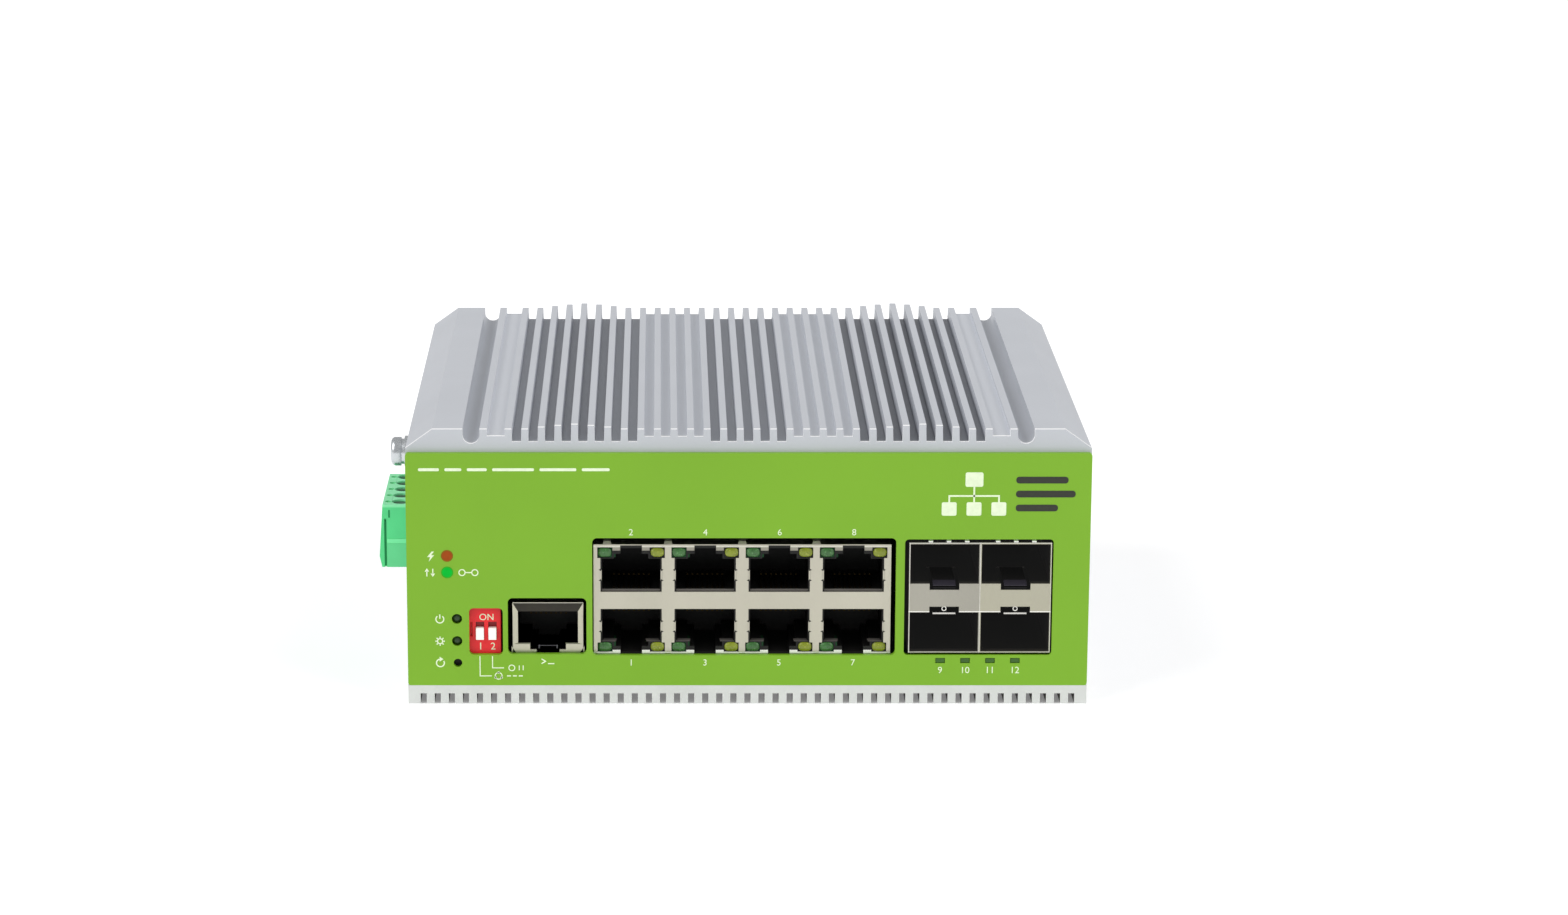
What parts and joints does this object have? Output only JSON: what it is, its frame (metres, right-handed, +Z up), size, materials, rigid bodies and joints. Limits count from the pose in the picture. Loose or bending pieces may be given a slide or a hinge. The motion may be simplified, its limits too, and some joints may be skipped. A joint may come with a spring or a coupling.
{
  "type": "industrial network switch",
  "caption": "Industrial managed network switch with a finned aluminium casing, network and fibre ports, a pluggable power terminal and a DIN-rail clip.",
  "frame": {"origin": "centre of the casing's underside, on the surface that the switch rests on", "axes": "+X to the right along the front panel, +Y from the front panel to the rear, +Z up"},
  "size_m": [0.1442, 0.126, 0.0582],
  "materials": {
    "silver_paint": "powder coat, fine satin",
    "pale_aluminium": "bead blasted, matt",
    "green_panel": "smooth satin paint",
    "steel": "bright zinc plated",
    "nickel": "nickel plated stamping",
    "dark_spring": "stainless spring",
    "black_plastic": "moulded, matt",
    "chip_black": "moulded epoxy",
    "gold": "gold plated",
    "tin": "tin plated",
    "circuit_board": "green solder mask",
    "mint_plastic": "moulded, slight gloss",
    "mint_dark": "moulded, slight gloss",
    "dip_red": "moulded, gloss",
    "white_plastic": "moulded, matt",
    "lens_green": "diffused lens",
    "lens_yellow": "diffused lens",
    "lens_dark": "diffused lens",
    "thermal_pad": "soft gap pad",
    "capacitor_sleeve": "shrink sleeve"
  },
  "bodies": {
    "chassis": {"heatsink_cover": "silver_paint", "base_extrusion": "pale_aluminium", "front_panel": "green_panel", "rear_panel": "silver_paint", "side_screws": "steel", "rear_screws": "steel", "base_screws": "steel", "main_board": "circuit_board", "board_standoffs": "steel", "board_screws": "steel", "switch_chip": "chip_black", "logic_chips": "chip_black", "network_magnetics": "chip_black", "thermal_pads": "thermal_pad", "board_capacitors": "capacitor_sleeve", "port_shield": "nickel", "port_housing": "black_plastic", "port_contacts": "gold", "port_leds_green": "lens_green", "port_leds_yellow": "lens_yellow", "console_shield": "nickel", "console_housing": "black_plastic", "console_contacts": "gold", "fibre_cage": "nickel", "fibre_connectors": "black_plastic", "fibre_latches": "dark_spring", "fibre_light_pipes": "lens_dark", "dip_body": "dip_red", "status_lamps": "lens_dark", "lamp_holder": "black_plastic", "reset_body": "black_plastic", "terminal_header": "mint_dark", "terminal_pins": "gold", "power_board": "circuit_board", "power_parts": "chip_black", "power_capacitors": "capacitor_sleeve", "board_link": "black_plastic", "ground_screw": "steel", "ground_washers": "steel", "clip_plate": "steel", "clip_screws": "steel", "clip_spring": "dark_spring"},
    "dip_1": {"dip_slider_1": "white_plastic"},
    "dip_2": {"dip_slider_2": "white_plastic"},
    "reset": {"reset_button": "black_plastic"},
    "plug": {"terminal_plug": "mint_plastic", "terminal_contacts": "tin"},
    "latch": {"clip_latch": "steel"},
    "screw_1": {"terminal_screw_1": "steel"},
    "clamp_1": {"wire_clamp_1": "tin"},
    "screw_2": {"terminal_screw_2": "steel"},
    "clamp_2": {"wire_clamp_2": "tin"},
    "screw_3": {"terminal_screw_3": "steel"},
    "clamp_3": {"wire_clamp_3": "tin"},
    "screw_4": {"terminal_screw_4": "steel"},
    "clamp_4": {"wire_clamp_4": "tin"},
    "screw_5": {"terminal_screw_5": "steel"},
    "clamp_5": {"wire_clamp_5": "tin"}
  },
  "joints": [
    {"name": "dip_1_slide", "type": "slide", "parent": "chassis", "child": "dip_1", "axis": [0, 0, 1], "range_m": [0, 0.001]},
    {"name": "dip_2_slide", "type": "slide", "parent": "chassis", "child": "dip_2", "axis": [0, 0, 1], "range_m": [0, 0.001]},
    {"name": "reset_press", "type": "slide", "parent": "chassis", "child": "reset", "axis": [0, 1, 0], "range_m": [0, 0.00025], "stiffness_N_per_m": 2000, "springref_m": -0.0005},
    {"name": "plug_pull", "type": "slide", "parent": "chassis", "child": "plug", "axis": [-1, 0, 0], "range_m": [0, 0.014]},
    {"name": "latch_pull", "type": "slide", "parent": "chassis", "child": "latch", "axis": [0, 0, -1], "range_m": [0, 0.003], "stiffness_N_per_m": 1500, "springref_m": -0.003, "deforming": ["clip_spring"]},
    {"name": "screw_1_turn", "type": "hinge", "parent": "plug", "child": "screw_1", "pos_m": [-0.0709, -0.04496, 0.035], "axis": [0, 0, -1], "range_deg": [0, 1440]},
    {"name": "clamp_1_lift", "type": "slide", "parent": "plug", "child": "clamp_1", "axis": [0, 0, 1], "range_m": [0, 0.002]},
    {"name": "screw_2_turn", "type": "hinge", "parent": "plug", "child": "screw_2", "pos_m": [-0.0709, -0.03988, 0.035], "axis": [0, 0, -1], "range_deg": [0, 1440]},
    {"name": "clamp_2_lift", "type": "slide", "parent": "plug", "child": "clamp_2", "axis": [0, 0, 1], "range_m": [0, 0.002]},
    {"name": "screw_3_turn", "type": "hinge", "parent": "plug", "child": "screw_3", "pos_m": [-0.0709, -0.0348, 0.035], "axis": [0, 0, -1], "range_deg": [0, 1440]},
    {"name": "clamp_3_lift", "type": "slide", "parent": "plug", "child": "clamp_3", "axis": [0, 0, 1], "range_m": [0, 0.002]},
    {"name": "screw_4_turn", "type": "hinge", "parent": "plug", "child": "screw_4", "pos_m": [-0.0709, -0.02972, 0.035], "axis": [0, 0, -1], "range_deg": [0, 1440]},
    {"name": "clamp_4_lift", "type": "slide", "parent": "plug", "child": "clamp_4", "axis": [0, 0, 1], "range_m": [0, 0.002]},
    {"name": "screw_5_turn", "type": "hinge", "parent": "plug", "child": "screw_5", "pos_m": [-0.0709, -0.02464, 0.035], "axis": [0, 0, -1], "range_deg": [0, 1440]},
    {"name": "clamp_5_lift", "type": "slide", "parent": "plug", "child": "clamp_5", "axis": [0, 0, 1], "range_m": [0, 0.002]}
  ],
  "couplings": [
    {"joint": "screw_1_turn", "follows": "clamp_1_lift", "rad_per_m": 12566},
    {"joint": "screw_2_turn", "follows": "clamp_2_lift", "rad_per_m": 12566},
    {"joint": "screw_3_turn", "follows": "clamp_3_lift", "rad_per_m": 12566},
    {"joint": "screw_4_turn", "follows": "clamp_4_lift", "rad_per_m": 12566},
    {"joint": "screw_5_turn", "follows": "clamp_5_lift", "rad_per_m": 12566}
  ]
}
